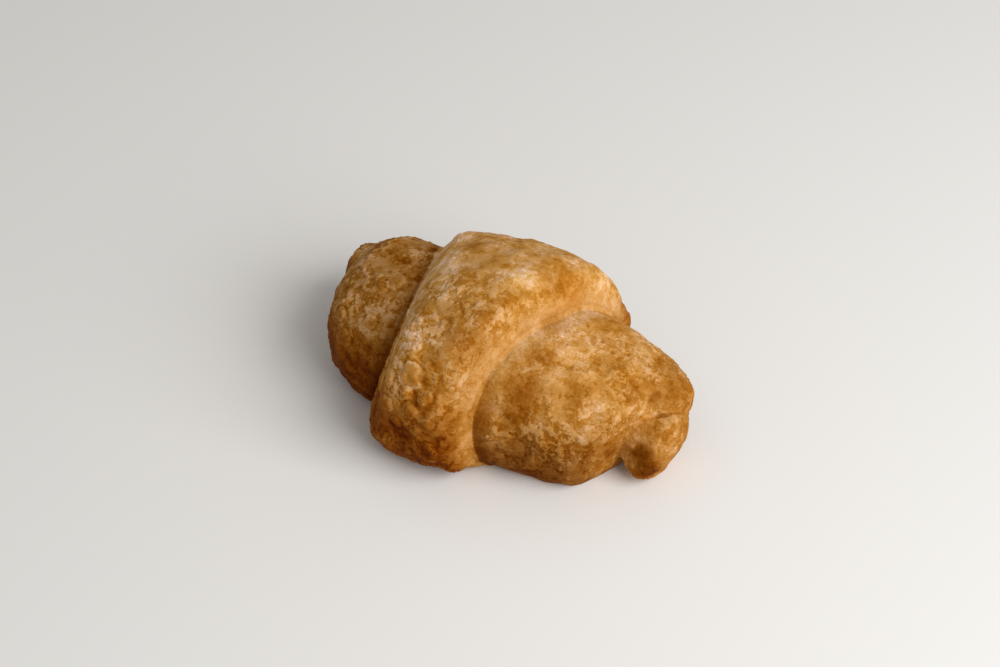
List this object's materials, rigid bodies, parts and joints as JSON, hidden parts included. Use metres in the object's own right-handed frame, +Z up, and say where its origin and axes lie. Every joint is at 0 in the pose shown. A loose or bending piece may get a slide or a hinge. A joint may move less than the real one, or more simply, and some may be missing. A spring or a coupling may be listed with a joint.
{
  "type": "croissant",
  "caption": "Small baked puff-pastry croissant with a wide wrapped band in the middle, tapering turns of dough, a folded tip and a blistered, flaky golden crust.",
  "frame": {"origin": "on the flat underside, below the middle of the croissant's box", "axes": "+X along the roll towards the folded tip, +Y away from the picture's front, +Z up"},
  "size_m": [0.1098, 0.0704, 0.0498],
  "materials": {
    "crust": "dry, flaky golden-brown baked crust"
  },
  "bodies": {
    "root": {"croissant": "crust"}
  },
  "joints": []
}
